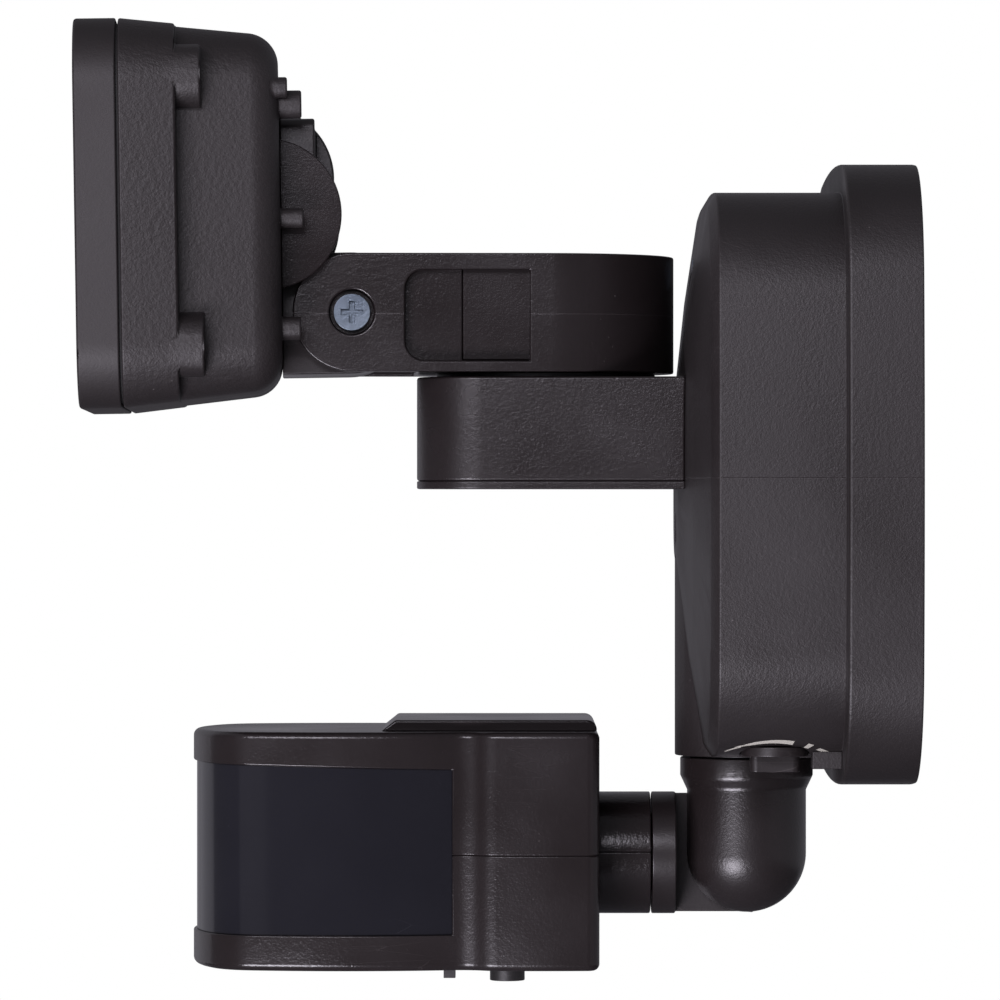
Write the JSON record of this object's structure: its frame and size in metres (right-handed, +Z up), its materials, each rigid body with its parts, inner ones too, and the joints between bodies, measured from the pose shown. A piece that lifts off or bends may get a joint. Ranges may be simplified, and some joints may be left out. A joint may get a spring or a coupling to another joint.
{
  "type": "motion sensor security light",
  "caption": "Wall-mounted outdoor security light: a tilting lamp head on a swivel arm, and a motion sensor head on an elbow under a rounded square canopy.",
  "frame": {"origin": "centre of the canopy's back, in the plane of the wall", "axes": "+X goes into the wall, +Z is up, and +Y is away from the camera of the picture, so -X is the side that the lamp faces"},
  "size_m": [0.1829, 0.1352, 0.2075],
  "materials": {
    "bronze": "dark bronze moulded resin, fine texture",
    "dark_plastic": "matte black",
    "rubber": "soft black",
    "zinc_steel": "bright zinc",
    "aluminium": "satin",
    "board": "solder mask",
    "glass": "clear tempered",
    "lens": "smoky glossy",
    "reflector": "bright white",
    "led": "yellow phosphor",
    "sensor_can": "nickel can"
  },
  "bodies": {
    "base": {"canopy_shell": "bronze", "back_plate": "zinc_steel", "wall_gasket": "rubber", "wire_grommet": "rubber", "canopy_screws": "zinc_steel", "control_board": "board", "selector_switch": "dark_plastic", "catch_tab": "bronze", "low_arm": "bronze", "low_arm_cover": "bronze", "cover_screws": "zinc_steel", "arm_screws": "zinc_steel", "swivel_bolt": "zinc_steel", "swivel_nut": "zinc_steel", "swivel_washer": "dark_plastic"},
    "dial": {"dial_knob": "bronze"},
    "arm": {"swivel_arm": "bronze", "arm_core": "bronze", "tilt_screw": "zinc_steel", "tilt_nut": "zinc_steel"},
    "lamp": {"lamp_housing": "bronze", "lamp_bezel": "bronze", "bezel_screws": "zinc_steel", "bezel_gasket": "rubber", "front_glass": "glass", "reflector": "reflector", "heat_plate": "aluminium", "led_board": "board", "led_chips": "led", "driver_board": "board", "driver_cover": "bronze", "side_discs": "bronze", "lamp_knuckle": "bronze"},
    "elbow": {"elbow": "bronze", "elbow_seal": "rubber", "elbow_nut": "dark_plastic", "knee_screw": "zinc_steel"},
    "knuckle": {"sensor_knuckle": "bronze", "neck_clip": "dark_plastic"},
    "sensor": {"sensor_upper": "bronze", "sensor_lower": "bronze", "shell_screws": "zinc_steel", "sensor_cover": "bronze", "pir_lens": "lens", "pir_board": "board", "pir_element": "sensor_can"},
    "range_knob": {"range_knob": "dark_plastic"},
    "mode_slider": {"mode_slider": "dark_plastic"}
  },
  "joints": [
    {"name": "arm_swivel", "type": "hinge", "parent": "base", "child": "arm", "pos_m": [-0.0788, 0, 0.0219], "axis": [0, 0, 1], "range_deg": [-60, 60]},
    {"name": "lamp_tilt", "type": "hinge", "parent": "arm", "child": "lamp", "pos_m": [-0.12177, -0.0015, 0.035], "axis": [-0.0349, 0.9994, 0], "range_deg": [-50, 45]},
    {"name": "sensor_pan", "type": "hinge", "parent": "base", "child": "elbow", "pos_m": [-0.0346, 0, -0.0616], "axis": [0, 0, 1], "range_deg": [-25, 25]},
    {"name": "sensor_tilt", "type": "hinge", "parent": "elbow", "child": "knuckle", "pos_m": [-0.0346, 0, -0.0831], "axis": [0, 1, 0], "range_deg": [-45, 0]},
    {"name": "sensor_roll", "type": "hinge", "parent": "knuckle", "child": "sensor", "pos_m": [-0.0674, 0, -0.0831], "axis": [1, 0, 0], "range_deg": [-25, 25]},
    {"name": "dial_turn", "type": "hinge", "parent": "base", "child": "dial", "pos_m": [-0.0302, -0.04, -0.0602], "axis": [0, 0, 1], "range_deg": [-135, 135]},
    {"name": "range_turn", "type": "hinge", "parent": "sensor", "child": "range_knob", "pos_m": [-0.0873, -0.012, -0.1072], "axis": [0, 0, 1], "range_deg": [-135, 135]},
    {"name": "mode_slide", "type": "slide", "parent": "sensor", "child": "mode_slider", "axis": [0, 1, 0], "range_m": [-0.0027, 0.0027]}
  ]
}
